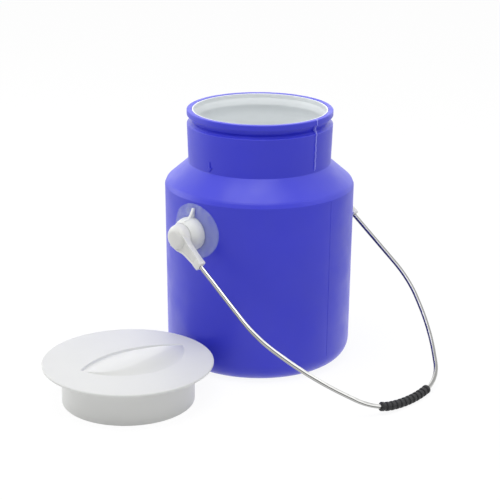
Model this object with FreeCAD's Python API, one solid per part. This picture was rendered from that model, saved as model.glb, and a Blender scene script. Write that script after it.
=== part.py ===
import FreeCAD, Part

import math
import os

# Insulated plastic milk can: a two-walled can with a wide neck, a plug lid standing beside it
# and a wire bail that swings in two ears.  Millimetres.
# Frame: +Z up, origin at the centre of the can's base, ears on +X and -X, bail lying towards -Y.

V = FreeCAD.Vector
ORIGIN = V(0, 0, 0)
UP = V(0, 0, 1)
ACROSS = V(1, 0, 0)

# ---- outer shell -------------------------------------------------------------------------
wall = 2.0
body_height = 162.0           # straight body, up to the foot of the shoulder
body_radius_top = 85.0        # at the foot of the shoulder
body_taper = 1.6              # the body draws in this much down to the base
base_round = 16.8
body_top_round = 1.5
shoulder_height = 20.6        # from the body's top to the neck's foot
shoulder_draw = 2.5           # the shoulder cone starts this far inside the body
shoulder_rise = 4.6           # and this far above it, over a small ledge
shoulder_ledge = 1.1
ledge_drop = 1.4
neck_height = 47.4            # from the neck's foot to the rim's top
neck_top_radius = 65.1
neck_taper = 1.2              # the neck draws in this much down to its foot
rim_overhang = 0.1            # rim outside the neck
rim_height = 5.0
rim_wall = 4.7
rim_depth = 9.0               # how far down the thick rim reaches
groove_height = 4.4           # groove under the rim, with a sloping lower side
groove_depth = 1.8
groove_slope = 3.2
edge_round = 0.9

seam_width_deg = 0.7          # mould parting line, two opposite sides
seam_height = 0.35
seam_foot_z = 24.0

# fill arrow over the left ear
arrow_relief = 0.55
arrow_lean = 0.25             # its face follows the neck's taper
arrow_root = 0.8              # how deep it reaches into the neck's wall
arrow_lift = 1.8              # tip over the neck's foot
arrow_length = 8.6
arrow_head_width = 5.0
arrow_head_length = 3.6
arrow_stem_width = 1.2

body_radius_base = body_radius_top - body_taper
neck_foot_z = body_height + shoulder_height
can_height = neck_foot_z + neck_height
neck_foot_radius = neck_top_radius - neck_taper
rim_radius = neck_top_radius + rim_overhang
mouth_radius = rim_radius - rim_wall

# ---- inner liner -------------------------------------------------------------------------
liner_wall = 1.6
liner_gap = 0.1               # liner lip inside the rim
liner_drop = 0.35             # lip's top edge below the rim's
insulation = 6.0              # empty room between the two walls
lip_wall = 1.1
lip_depth = 4.2
lip_step = 1.3                # the bore is this much smaller than the lip
lip_slope = 4.6
ring_depth = 0.5              # shallow ring pressed into the neck's inside
ring_drop = 15.8              # its middle below the can's top
ring_height = 6.0
ring_slope = 0.8
liner_shoulder_bend = 8.0
liner_neck_bend = 3.0

lip_radius = mouth_radius - liner_gap - lip_wall
bore_radius = lip_radius - lip_step       # where the lid's skirt goes in

# ---- ears --------------------------------------------------------------------------------
hinge_drop = 28.5             # hinge below the body's top
ear_gap = 0.2                 # ear disc on the body
disc_radius = 24.0
disc_thickness = 1.6
disc_rise = 1.9               # disc's centre over the hinge
disc_bevel = 0.7
head_radius = 10.6            # turning head of the bail's end
dome_lip = 0.3                # dome's end outside the head
dome_swell = 3.7              # dome's foot outside its end
dome_height = 10.5            # from the disc's face to the dome's end
dome_bulge = 1.3              # how far the dome's side bellies out
dome_sink = 0.5               # dome's foot inside the disc's face
stud_radius = 4.0
stud_length = 7.6
fin_thickness = 2.2
fin_drop = 2.4                # fin's top below the disc's top
fin_inset = 2.6               # fin's foot inside the dome's end
fin_top_rise = 0.4            # fin's top outside the disc's face
fin_waist = 3.2               # fin's hollow outside the disc's face
fin_waist_rise = 2.0          # and over the dome's foot
ear_root = 6.0                # raw shapes start this far inside the body, then are cut to it

hinge_z = body_height - hinge_drop
disc_z = hinge_z + disc_rise

# ---- bail ends ---------------------------------------------------------------------------
face_gap = 0.35               # between the dome's end and the turning head
running_fit = 0.08            # radial, head on stud
stud_end_gap = 0.4            # between the stud's end and the bottom of its bore
head_thickness = 10.65
head_round = 3.4
head_inner_round = 0.5
arm_set_back = 1.55           # arm's inner face outside the head's
arm_thickness = 8.3
arm_start = 2.0               # arm's root in the head, past the hinge line
arm_shrink = 1.8              # arm's root is this much slimmer than the head, each side
socket_wall = 3.4             # socket block outside the wire, each side
socket_start = 27.5
socket_end = 36.5
arm_edge_round = 1.1
pocket_depth = 0.9
pocket_rib = 1.5
pocket_lead = 2.4             # pocket starts this far outside the head
pocket_end_rib = 1.0

# ---- bail wire and grip ------------------------------------------------------------------
wire_radius = 2.0
wire_fit = 0.1                # radial, wire in its sockets and in the grip
wire_start = 20.0             # wire's end inside the socket, below the hinge line
wire_end_gap = 0.3            # between the wire's end and the bottom of its hole
knee_spread = 1.0             # the wire's knee is this far outside its start
knee_drop = 115.8
knee_bend = 102.3
mid_draw = 22.8               # the next bends lie this far inside its start
mid_drop = 169.7
mid_bend = 230.0
corner_room = 6.4             # from the grip's end to the corner between side and bottom
corner_drop = 216.0
corner_bend = 52.4
grip_drop = 222.7
grip_bend = 142.0
grip_wall = 1.15
grip_rib_rise = 0.85
grip_length = 62.0
grip_shift = -6.5             # the grip has slid a little towards the left ear
grip_ribs = 12
grip_rib_width = 3.5
grip_rib_chamfer = 0.6
floor_gap = 0.1

arm_half_at_head = head_radius - arm_shrink
arm_half_at_socket = wire_radius + socket_wall
grip_core_radius = wire_radius + grip_wall
grip_radius = grip_core_radius + grip_rib_rise
corner_half_span = grip_length / 2 + abs(grip_shift) + corner_room

# ---- lid ---------------------------------------------------------------------------------
lid_gap = 3.25                # between the flange and the can's body
lid_y = 4.0
lid_height = 35.2
flange_overhang = 8.5         # flange outside the can's rim
flange_thickness = 2.2
flange_round = 1.3
flange_root_round = 1.5
lid_clearance = 0.8           # radial, skirt in the liner's bore
skirt_wall = 2.2
skirt_foot_round = 1.0
lid_plate = 3.8
plate_round = 2.0
hand_hold_turn = -11.8        # long axis of the hand hold, degrees from +X
hand_hold_x = 7.8
hand_hold_y = 2.6
hand_hold_length = 102.0
far_bulge = 18.5
near_bulge = 39.0
crest_height = 6.8
crest_at = 16.0               # along the long axis
crest_swell = 0.9             # how fast the crest drops towards the tips
crest_share_left = 0.84       # how far across the hold the crest lies at its left tip
crest_share_right = 0.46      # and at its right tip
hold_line = 0.3               # the whole outline lies this far under the lid's top
scoop_depth = 2.3             # at the far arc
hold_tip_run = 7.0            # the scoop keeps its full depth where the hold is this wide
hold_floor = 0.6              # flat floor of the hold's pocket under its scoop
hold_margin = 2.0             # the hold's surface is made this much wider than its outline
hold_run_out = 0.3            # share of its width by which the profile runs on past each edge
hold_grid = 25                # points each way that carry the hold's surface
hold_tip = 0.985              # share of the half length where the two arcs are taken to meet

flange_radius = rim_radius + flange_overhang
skirt_radius = bore_radius - lid_clearance


def body_radius_at(z):
    """Radius of the straight body at height z."""
    return body_radius_base + body_taper * z / body_height


def shoulder_z_at(radius, inset):
    """Height of the shoulder cone at a radius, on the surface that lies inset inside it."""
    rise = shoulder_height - shoulder_rise
    run = body_radius_top - shoulder_draw - neck_foot_radius
    return neck_foot_z + ((neck_foot_radius - radius) * rise - inset * math.hypot(rise, run)) / run


def rounded_outline(corners, closed=True):
    """Edges through (a, b, bend radius) corners in the XZ plane, each corner rounded by its bend."""
    points = [V(a, 0, b) for a, b, bend in corners]
    bends = [bend for a, b, bend in corners]
    return bent_edges(points, bends, closed)


def bend_reaches(points, bends, closed):
    """Half angle at each corner, and how far its bend reaches along both its edges."""
    count = len(points)
    halves, reaches = [math.pi / 2] * count, [0.0] * count
    for i in range(count):
        if bends[i] > 0 and (closed or 0 < i < count - 1):
            back, ahead = points[i - 1] - points[i], points[(i + 1) % count] - points[i]
            halves[i] = back.getAngle(ahead) / 2
            reaches[i] = bends[i] / math.tan(halves[i])
    # two bends that meet on a short edge share it
    shares = [1.0] * count
    for i in range(count if closed else count - 1):
        nxt = (i + 1) % count
        length, wanted = (points[nxt] - points[i]).Length, reaches[i] + reaches[nxt]
        if wanted > length:
            shares[i], shares[nxt] = min(shares[i], length / wanted), min(shares[nxt], length / wanted)
    return halves, [reach * share for reach, share in zip(reaches, shares)]


def bent_edges(points, bends, closed):
    """Straight edges joined by tangent arcs."""
    count = len(points)
    halves, reaches = bend_reaches(points, bends, closed)
    starts, ends, arcs = list(points), list(points), {}
    for i, (here, half, reach) in enumerate(zip(points, halves, reaches)):
        if reach == 0:
            continue
        back = (points[i - 1] - here).normalize()
        ahead = (points[(i + 1) % count] - here).normalize()
        bend = reach * math.tan(half)
        middle = (back + ahead).normalize()
        starts[i], ends[i] = here + back * reach, here + ahead * reach
        arcs[i] = Part.Arc(starts[i], here + middle * (bend / math.sin(half) - bend), ends[i]).toShape()
    edges = []
    for i in range(count):
        if i in arcs:
            edges.append(arcs[i])
        if closed or i < count - 1:
            nxt = (i + 1) % count
            if (starts[nxt] - ends[i]).Length > 1e-6:
                edges.append(Part.LineSegment(ends[i], starts[nxt]).toShape())
    return edges


def turned(corners, centre=ORIGIN, axis=UP, angle=360):
    """Solid of revolution of a closed outline given in the XZ plane."""
    face = Part.Face(Part.Wire(rounded_outline(corners)))
    return face.revolve(centre, axis, angle)


def clean(shape):
    """One tidy solid out of a fused or cut shape."""
    shape = shape.removeSplitter()
    solids = shape.Solids
    return max(solids, key=lambda s: s.Volume) if solids else shape


def outer_profile(grow=0.0):
    """Outer line of the shell from the base's centre to the rim's top edge, as rounded corners."""
    rim_foot = can_height - rim_height
    groove_foot = rim_foot - groove_height
    neck_edge = groove_foot - groove_slope
    cone_foot_z = body_height + shoulder_rise
    cone_foot_radius = body_radius_top - shoulder_draw
    return [
        (body_radius_base + grow, -grow, base_round),
        (body_radius_top + grow, body_height, body_top_round),
        (cone_foot_radius + shoulder_ledge + grow, cone_foot_z - ledge_drop, 0),
        (cone_foot_radius + grow, cone_foot_z, 0),
        (neck_foot_radius + grow, neck_foot_z, 0),
        (neck_top_radius + grow, neck_edge, 0.5),
        (rim_radius - groove_depth + grow, groove_foot, 0),
        (rim_radius - groove_depth + grow, rim_foot, 0),
        (rim_radius + grow, rim_foot, 0.4),
        (rim_radius + grow, can_height, edge_round),
    ]


def make_outer_shell():
    """Blow-moulded outer shell with its thick rim, groove, parting line and fill arrow."""
    rim_foot_inside = can_height - rim_depth
    neck_inside = neck_foot_radius - wall
    body_inside = body_radius_top - wall
    inner = [
        (mouth_radius, can_height, edge_round),
        (mouth_radius, rim_foot_inside, 0),
        (neck_top_radius - wall, rim_foot_inside - wall, 0),
        (neck_inside, shoulder_z_at(neck_inside, wall), 0),
        (body_inside, shoulder_z_at(body_inside, wall), body_top_round),
        (body_radius_base - wall, wall, base_round - wall),
        (0, wall, 0),
    ]
    shell = turned([(0, 0, 0)] + outer_profile() + inner)
    for turn in (-90, 90):
        shell = shell.fuse(seam(turn))
    shell = shell.fuse(fill_arrow())
    return clean(shell)


def seam(turn):
    """Thin upstanding parting line that follows the shell's outer line on one side."""
    low, high = seam_foot_z, can_height - rim_height - groove_height - groove_slope / 2
    between = [(a, b) for a, b, bend in outer_profile(seam_height) if low < b < high]
    front = [(body_radius_at(low) + seam_height, low)] + between
    back = [(a - wall / 2, b) for a, b in reversed(front)]
    strip = turned([(a, b, 0) for a, b in front + back], angle=seam_width_deg)
    strip.rotate(ORIGIN, UP, turn - seam_width_deg / 2)
    return strip


def fill_arrow():
    """Raised arrow pointing down at the neck's foot, over the left ear."""
    tip = neck_foot_z + arrow_lift
    root, face = neck_foot_radius - arrow_root, neck_foot_radius + arrow_relief
    half_head, half_stem = arrow_head_width / 2, arrow_stem_width / 2
    head_top, top = tip + arrow_head_length, tip + arrow_length
    outline = [V(0, 0, tip), V(0, half_head, head_top), V(0, half_stem, head_top),
               V(0, half_stem, top), V(0, -half_stem, top), V(0, -half_stem, head_top),
               V(0, -half_head, head_top), V(0, 0, tip)]
    arrow = Part.Face(Part.makePolygon(outline)).extrude(V(-2 * neck_foot_radius, 0, 0))
    band = turned([(root, tip, 0), (face, tip, 0), (face + arrow_lean, top, 0), (root, top, 0)])
    return arrow.common(band)


def make_inner_liner():
    """White liner: lip in the rim, neck bore, shoulder, side wall and floor, hung from its lip."""
    out = mouth_radius - liner_gap
    top = can_height - liner_drop
    step_z = can_height - lip_depth
    ring_z = can_height - ring_drop
    ring_low, ring_high = ring_z - ring_height / 2, ring_z + ring_height / 2
    inset = wall + insulation
    side_out, bore_out = body_radius_top - inset, bore_radius + liner_wall
    side_in = side_out - liner_wall
    floor_z = inset + liner_wall
    neck_low = can_height - rim_depth - wall
    bend = base_round - wall
    inside = [
        (lip_radius, top, liner_drop),
        (lip_radius, step_z, ring_slope),
        (bore_radius, step_z - lip_slope, ring_slope),
        (bore_radius, ring_high, 0),
        (bore_radius + ring_depth, ring_high - ring_slope, 0),
        (bore_radius + ring_depth, ring_low + ring_slope, 0),
        (bore_radius, ring_low, 0),
        (bore_radius, shoulder_z_at(bore_radius, floor_z), liner_neck_bend),
        (side_in, shoulder_z_at(side_in, floor_z), liner_shoulder_bend),
        (side_in - body_taper, floor_z, bend),
        (0, floor_z, 0),
    ]
    outside = [
        (0, inset, 0),
        (side_out - body_taper, inset, bend + liner_wall),
        (side_out, shoulder_z_at(side_out, inset), liner_shoulder_bend + liner_wall),
        (bore_out, shoulder_z_at(bore_out, inset), 0),
        (bore_out, neck_low - (out - bore_out), 0),
        (out, neck_low, 0),
        (out, top, liner_drop),
    ]
    return clean(turned(inside + outside))


def body_block(grow):
    """Solid body cone around the ears, grown outwards by grow, used to shape what sits on it."""
    low, high = disc_z - 2 * disc_radius, disc_z + 2 * disc_radius
    return turned([(0, low, 0), (body_radius_at(low) + grow, low, 0),
                   (body_radius_at(high) + grow, high, 0), (0, high, 0)])


def disc_face():
    """Distance of the ear disc's face from the can's axis, at the hinge."""
    return body_radius_at(hinge_z) + ear_gap + disc_thickness


def dome_end():
    """Distance of the dome's end from the can's axis."""
    return disc_face() + dome_height


def make_ear():
    """Right ear: disc on the body, dome, turning stud and the upright fin over the dome."""
    far = disc_face()
    near = math.sqrt(body_radius_at(hinge_z) ** 2 - disc_radius ** 2) - disc_thickness
    cutter = turned([(near, disc_z, 0), (near, disc_z + disc_radius, 0),
                     (far, disc_z + disc_radius - disc_bevel, 0), (far, disc_z, 0)],
                    V(0, 0, disc_z), ACROSS)
    disc = body_block(ear_gap + disc_thickness).common(cutter)
    sunk = dome_end() - dome_height / 2
    stud = Part.makeCylinder(stud_radius, dome_end() + stud_length - sunk, V(sunk, 0, hinge_z), ACROSS)
    ear = disc.fuse([make_dome(), make_fin(), stud]).cut(body_block(ear_gap))
    return clean(ear)


def make_dome():
    """Bulging boss between the disc and the turning head."""
    end_radius = head_radius + dome_lip
    foot_radius = end_radius + dome_swell
    start, end_x = disc_face() - dome_sink, dome_end()
    root = V(start - ear_root, 0, hinge_z)
    wide = V(root.x, 0, hinge_z + foot_radius)
    foot, end = V(start, 0, hinge_z + foot_radius), V(end_x, 0, hinge_z + end_radius)
    chord = end - foot
    bulge = (foot + end) / 2 + V(-chord.z, 0, chord.x).normalize() * dome_bulge
    axis_end = V(end_x, 0, hinge_z)
    edges = [Part.LineSegment(root, wide).toShape(), Part.LineSegment(wide, foot).toShape(),
             Part.Arc(foot, bulge, end).toShape(),
             Part.LineSegment(end, axis_end).toShape(), Part.LineSegment(axis_end, root).toShape()]
    return Part.Face(Part.Wire(edges)).revolve(V(0, 0, hinge_z), ACROSS, 360)


def make_fin():
    """Upright fin from the dome to the top of the disc, with a hollow outer edge."""
    end_radius = head_radius + dome_lip
    out_x, in_x = dome_end() - fin_inset, disc_face() - ear_root
    top_z = disc_z + disc_radius - fin_drop
    low_out = V(out_x, 0, hinge_z + end_radius)
    top = V(disc_face() + fin_top_rise, 0, top_z)
    hollow = V(disc_face() + fin_waist, 0, hinge_z + end_radius + dome_swell + fin_waist_rise)
    corners = [top, V(in_x, 0, top_z), V(in_x, 0, hinge_z), V(out_x, 0, hinge_z), low_out]
    edges = [Part.LineSegment(a, b).toShape() for a, b in zip(corners, corners[1:])]
    face = Part.Face(Part.Wire(edges + [Part.Arc(low_out, hollow, top).toShape()]))
    face.translate(V(0, -fin_thickness / 2, 0))
    return face.extrude(V(0, fin_thickness, 0))


def arm_inner():
    """Distance of the bail end's arm from the can's axis."""
    return dome_end() + face_gap + arm_set_back


def bail_points():
    """Corner points of the bail's centre line, from the right ear to the left."""
    side = arm_inner() + arm_thickness / 2
    half = [V(side, -wire_start, 0), V(side + knee_spread, -knee_drop, 0),
            V(side - mid_draw, -mid_drop, 0), V(corner_half_span, -corner_drop, 0)]
    bends = [0, knee_bend, mid_bend, corner_bend]
    other = [V(-p.x, p.y, 0) for p in reversed(half)]
    return half + [V(0, -grip_drop, 0)] + other, bends + [grip_bend] + list(reversed(bends))


def bail_spine():
    """Centre line of the wire in the bail's own plane: hinge line on X, reaching towards -Y."""
    points, bends = bail_points()
    return Part.Wire(bent_edges(points, bends, False))


def spine_stations(distances):
    """Points and directions on the spine at signed distances from its lowest point."""
    spine = bail_spine()
    half = spine.Length / 2
    stations = []
    for distance in distances:
        # positive distances run to the left ear
        left_over = half + distance
        for edge in spine.OrderedEdges:
            if left_over <= edge.Length:
                t = edge.getParameterByLength(left_over)
                point, along = edge.valueAt(t), edge.tangentAt(t)
                if edge.Orientation == "Reversed":
                    t = edge.getParameterByLength(edge.Length - left_over)
                    point, along = edge.valueAt(t), edge.tangentAt(t) * -1
                stations.append((point, along))
                break
            left_over -= edge.Length
    return stations


def pipe(path, start, along, radius):
    """Round bar along a path."""
    ring = Part.Wire(Part.makeCircle(radius, start, along))
    return Part.Wire(path).makePipeShell([ring], True, False)


def make_bail_wire():
    """Bent round wire with both ends in the sockets."""
    spine = bail_spine()
    points, bends = bail_points()
    return clean(pipe(spine.OrderedEdges, points[0], points[1] - points[0], wire_radius))


def grip_spine(reach):
    """Smooth curve along the wire under the grip, running past each end by reach."""
    first, last = -grip_shift - grip_length / 2 - reach, -grip_shift + grip_length / 2 + reach
    steps = 16
    stations = spine_stations([first + (last - first) * i / steps for i in range(steps + 1)])
    curve = Part.BSplineCurve()
    curve.interpolate([point for point, along in stations])
    return curve.toShape(), stations[0]


def make_bail_grip():
    """Soft ribbed sleeve on the wire."""
    path, (start, along) = grip_spine(0.0)
    grip = pipe([path], start, along, grip_core_radius)
    first = -grip_shift - grip_length / 2
    pitch = (grip_length - grip_rib_width) / (grip_ribs - 1)
    places = [first + grip_rib_width / 2 + pitch * i for i in range(grip_ribs)]
    ribs = []
    for point, along in spine_stations(places):
        rib = Part.makeCylinder(grip_radius, grip_rib_width, point - along * (grip_rib_width / 2), along)
        rims = [e for e in rib.Edges if isinstance(e.Curve, Part.Circle)]
        ribs.append(rib.makeChamfer(grip_rib_chamfer, rims))
    grip = grip.fuse(ribs)
    path, (start, along) = grip_spine(grip_rib_width)
    return clean(grip.cut(pipe([path], start, along, wire_radius + wire_fit)))


def make_bail_end():
    """Right end fitting in the bail's own plane: head on the stud, tapering arm, wire socket."""
    inner = dome_end() + face_gap
    outer = inner + head_thickness
    head = turned([(inner, 0, 0), (inner, head_radius, head_inner_round),
                   (outer, head_radius, head_round), (outer, 0, 0)], ORIGIN, ACROSS)
    bore = Part.makeCylinder(stud_radius + running_fit, stud_length - face_gap + stud_end_gap,
                             V(inner, 0, 0), ACROSS)
    points, bends = bail_points()
    along = (points[1] - points[0]).normalize()
    hole = Part.makeCylinder(wire_radius + wire_fit, socket_end, points[0] - along * wire_end_gap, along)
    return clean(head.fuse(make_arm()).cut([bore, hole]))


def make_arm():
    """Tapering arm with a shallow pocket between two edge ribs, ending in the socket block."""
    wide, slim = arm_half_at_head, arm_half_at_socket
    near = arm_inner()
    half = [(arm_start, wide), (socket_start, slim), (socket_end, slim)]
    outline = [V(near, -y, z) for y, z in half] + [V(near, -y, -z) for y, z in reversed(half)]
    arm = Part.Face(Part.makePolygon(outline + [outline[0]])).extrude(V(arm_thickness, 0, 0))
    arm = arm.makeFillet(arm_edge_round, [e for e in arm.Edges if off_the_head(e)])
    first, last = head_radius + pocket_lead, socket_start - pocket_end_rib
    slope = (wide - slim) / (socket_start - arm_start)
    half_first, half_last = [wide - slope * (y - arm_start) - pocket_rib for y in (first, last)]
    floor = near + arm_thickness - pocket_depth
    pocket = [V(floor, -first, half_first), V(floor, -last, half_last),
              V(floor, -last, -half_last), V(floor, -first, -half_first)]
    cut = Part.Face(Part.makePolygon(pocket + [pocket[0]])).extrude(V(arm_thickness, 0, 0))
    return arm.cut(cut)


def off_the_head(edge):
    """True for the arm's edges apart from those of its root inside the head."""
    return any(vertex.Point.y < -arm_start - 0.01 for vertex in edge.Vertexes)


def bail_tilt():
    """Angle below level at which the grip's lowest rib is just over the floor."""
    lowest = max(-point.y for point, along in spine_stations([0.0]))
    return math.degrees(math.asin((hinge_z - grip_radius - floor_gap) / lowest))


def place_bail(shape):
    """Turn a bail piece from its own plane down to where it rests on the floor."""
    shape = shape.copy()
    shape.rotate(ORIGIN, ACROSS, bail_tilt())
    shape.translate(V(0, 0, hinge_z))
    return shape


def hold_edge(along, bulge):
    """Distance from the hand hold's long axis to its edge arc at a place along it."""
    half = hand_hold_length / 2
    radius = (half ** 2 + bulge ** 2) / (2 * bulge)
    return math.sqrt(radius ** 2 - along ** 2) - (radius - bulge)


def hold_sides(along):
    """Place along the hold, kept off its tips, and its far and near edges there."""
    reach = hand_hold_length / 2 * hold_tip
    inside = max(-reach, min(reach, along))
    return inside, -hold_edge(inside, far_bulge), hold_edge(inside, near_bulge)


def hold_height(along, across):
    """Height over the lid's top: sunk at the far arc, raised to a crest, then down to the near arc."""
    half = hand_hold_length / 2
    inside, far, near = hold_sides(along)
    width = near - far
    share = max(-hold_run_out, min(1 + hold_run_out, (across - far) / width))
    side = half - crest_at if inside > crest_at else half + crest_at
    swell = math.cos(math.pi / 2 * abs(inside - crest_at) / side) ** crest_swell
    crest = (crest_height + hold_line) * swell
    sunk = (scoop_depth - hold_line) * min(1.0, width / hold_tip_run)
    ridge = crest_share_left + (crest_share_right - crest_share_left) * (inside + half) / (2 * half)
    if share <= ridge:
        return -hold_line - sunk + (crest + sunk) * math.sin(math.pi / 2 * share / ridge)
    fall = (share - ridge) / (1 - ridge)
    return -hold_line + crest * (1 + math.cos(math.pi * fall)) / 2


def hold_outline():
    """Plan of the hand hold: two arcs from tip to tip."""
    half = hand_hold_length / 2
    tips = V(-half, 0, 0), V(half, 0, 0)
    far = Part.Arc(tips[0], V(0, far_bulge, 0), tips[1]).toShape()
    near = Part.Arc(tips[1], V(0, -near_bulge, 0), tips[0]).toShape()
    return Part.Face(Part.Wire([far, near]))


def hold_top():
    """Smooth upper surface of the hand hold as one face, its near side towards -Y."""
    reach = hand_hold_length / 2 + hold_margin / 2
    grid = []
    for i in range(hold_grid):
        along = -reach + 2 * reach * i / (hold_grid - 1)
        inside, far, near = hold_sides(along)
        line = []
        for j in range(hold_grid):
            across = far - hold_margin + (near - far + 2 * hold_margin) * j / (hold_grid - 1)
            line.append(V(along, -across, lid_height + hold_height(along, across)))
        grid.append(line)
    surface = Part.BSplineSurface()
    surface.interpolate(grid)
    return surface.toShape()


def lid_centre():
    """Where the lid stands: its flange clears the can's body by the lid gap."""
    reach = body_radius_at(lid_height) + lid_gap + flange_radius
    return V(-math.sqrt(reach ** 2 - lid_y ** 2), lid_y, 0)


def make_lid():
    """Plug lid standing on its skirt, with the raised and scooped hand hold on top."""
    foot = min(skirt_foot_round, 0.45 * skirt_wall)
    edge = min(flange_round, 0.45 * flange_thickness)
    skirt_inside = skirt_radius - skirt_wall
    top_inside = lid_height - lid_plate
    flange_foot = lid_height - flange_thickness
    lid = turned([
        (0, lid_height, 0), (flange_radius, lid_height, edge), (flange_radius, flange_foot, edge),
        (skirt_radius, flange_foot, flange_root_round), (skirt_radius, 0, foot),
        (skirt_inside, 0, foot), (skirt_inside, top_inside, plate_round), (0, top_inside, 0)])
    plan = hold_outline()
    plan.translate(V(0, 0, lid_height - scoop_depth - hold_floor))
    column = plan.extrude(V(0, 0, 3 * crest_height))
    under = hold_top().extrude(V(0, 0, -crest_height - scoop_depth - lid_plate))
    hold = column.common(under)
    for shape in (column, hold):
        shape.rotate(ORIGIN, UP, hand_hold_turn)
        shape.translate(V(hand_hold_x, hand_hold_y, 0))
    lid = clean(lid.cut(column).fuse(hold))
    lid.translate(lid_centre())
    return lid


def mirrored(shape):
    """Copy of a right-hand piece on the left side."""
    return shape.mirror(ORIGIN, ACROSS)


def main():
    """Build every piece and write one STEP file for each."""
    os.makedirs("parts", exist_ok=True)
    ear = make_ear()
    bail_end = place_bail(make_bail_end())
    pieces = {
        "outer_shell": make_outer_shell(),
        "inner_liner": make_inner_liner(),
        "ear_right": ear,
        "ear_left": mirrored(ear),
        "bail_end_right": bail_end,
        "bail_end_left": mirrored(bail_end),
        "bail_wire": place_bail(make_bail_wire()),
        "bail_grip": place_bail(make_bail_grip()),
        "lid": make_lid(),
    }
    for name, shape in pieces.items():
        shape.exportStep("parts/" + name + ".step")
        box = shape.BoundBox
        print(name, shape.ShapeType, len(shape.Solids), shape.isValid(), round(shape.Volume / 1000, 2),
              [round(v, 1) for v in (box.XMin, box.XMax, box.YMin, box.YMax, box.ZMin, box.ZMax)])


main()
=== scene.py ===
"""Looks of an insulated plastic milk can with a wire bail and a plug lid.

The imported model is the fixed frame: every piece here is in metres, in the same frame as its solids.
+Z is up, the origin is the centre of the can's base, the ears lie on +X and -X, and the bail lies
towards -Y.  Each sub-assembly is a class with its sizes, in millimetres, as fields; it builds its
meshes and dresses them in a finish.
"""

import logging
import math
from collections.abc import Callable
from dataclasses import dataclass, field
from enum import Enum

import bmesh
import bpy
from mathutils import Matrix, Vector

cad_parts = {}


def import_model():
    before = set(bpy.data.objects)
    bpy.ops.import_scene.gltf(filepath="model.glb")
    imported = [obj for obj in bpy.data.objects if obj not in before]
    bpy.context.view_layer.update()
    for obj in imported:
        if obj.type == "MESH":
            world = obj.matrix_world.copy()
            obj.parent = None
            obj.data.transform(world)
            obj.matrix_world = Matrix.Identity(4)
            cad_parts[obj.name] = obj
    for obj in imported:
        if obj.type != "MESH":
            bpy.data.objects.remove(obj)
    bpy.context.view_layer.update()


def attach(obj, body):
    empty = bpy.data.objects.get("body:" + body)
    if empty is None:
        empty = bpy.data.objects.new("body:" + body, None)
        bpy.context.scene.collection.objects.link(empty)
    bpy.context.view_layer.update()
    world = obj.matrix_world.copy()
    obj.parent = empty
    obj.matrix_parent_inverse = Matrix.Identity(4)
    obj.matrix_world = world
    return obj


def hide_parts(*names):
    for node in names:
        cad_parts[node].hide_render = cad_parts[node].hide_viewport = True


LOG = logging.getLogger("milk_can")

MM = 0.001
WELD = 2e-6  # vertices nearer than this are merged, in metres
NOISE_MIDDLE = (0.3, 0.7)  # part of a noise that its ranged form spreads
HINGE_Z = 133.5  # height of the bail's hinge line
BAIL_TILT = math.radians(35.83)  # how far the resting bail leans down from level

Pair = tuple[float, float]
Corner = tuple[float, float, float]
Colour = tuple[float, float, float]
Socket = bpy.types.NodeSocket
Node = bpy.types.Node
Piece = bpy.types.Object
Feed = Socket | float | tuple[float, ...]
Placing = Callable[[float, float], Vector]


class Axis(Enum):
    """Line that a turned piece is spun round."""

    UPRIGHT = (0.0, 0.0, 1.0)
    HINGE = (1.0, 0.0, 0.0)


class Combine(Enum):
    """Way in which a tool piece acts on another piece."""

    JOIN = "UNION"
    KEEP_COMMON = "INTERSECT"


# ---- modelling steps that several pieces share ----


def take_up(piece: Piece) -> None:
    """Deselects everything and makes one piece the active, selected one.

    Args:
        piece: The piece.
    """
    bpy.ops.object.select_all(action="DESELECT")
    piece.select_set(True)
    bpy.context.view_layer.objects.active = piece


def keep_place() -> None:
    """Puts the place, turn and scale of the selected piece into its mesh."""
    bpy.ops.object.transform_apply(location=True, rotation=True, scale=True)


def enter_edit(piece: Piece) -> None:
    """Takes a piece up and starts to edit its mesh."""
    take_up(piece)
    bpy.ops.object.mode_set(mode="EDIT")


def leave_edit() -> None:
    """Stops editing."""
    bpy.ops.object.mode_set(mode="OBJECT")


def pick_all() -> None:
    """Selects all of the mesh that is being edited."""
    bpy.ops.mesh.select_all(action="SELECT")


def pick_vertices(piece: Piece, test: Callable[[Vector], bool]) -> None:
    """Selects, in edit mode, the vertices that pass a test, and no others.

    Args:
        piece: The piece that is being edited.
        test: Says whether a vertex at that place is wanted.
    """
    bpy.ops.mesh.select_all(action="DESELECT")
    mesh = bmesh.from_edit_mesh(piece.data)
    for vertex in mesh.verts:
        vertex.select = test(vertex.co)
    mesh.select_flush(True)
    bmesh.update_edit_mesh(piece.data)


def pick_faces(piece: Piece, test: Callable[[Vector, Vector], bool]) -> None:
    """Selects, in edit mode, the faces that pass a test, and no others.

    Args:
        piece: The piece that is being edited.
        test: Says whether a face with that middle and normal is wanted.
    """
    bpy.ops.mesh.select_all(action="DESELECT")
    bpy.ops.mesh.select_mode(type="FACE")
    mesh = bmesh.from_edit_mesh(piece.data)
    for face in mesh.faces:
        if test(face.calc_center_median(), face.normal):
            face.select_set(True)
    bmesh.update_edit_mesh(piece.data)


def move_vertices(piece: Piece, moved: Callable[[Vector], Vector]) -> None:
    """Moves every vertex, in edit mode, to a new place.

    Args:
        piece: The piece that is being edited.
        moved: Gives the new place for an old one.
    """
    mesh = bmesh.from_edit_mesh(piece.data)
    for vertex in mesh.verts:
        vertex.co = moved(vertex.co)
    bmesh.update_edit_mesh(piece.data)


def push(along: Vector) -> None:
    """Extrudes what is selected in edit mode by a distance in metres."""
    bpy.ops.mesh.extrude_region_move(TRANSFORM_OT_translate={"value": along})


def weld() -> None:
    """Merges vertices at the same place, in edit mode, and leaves all selected."""
    pick_all()
    bpy.ops.mesh.remove_doubles(threshold=WELD)
    pick_all()


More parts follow.
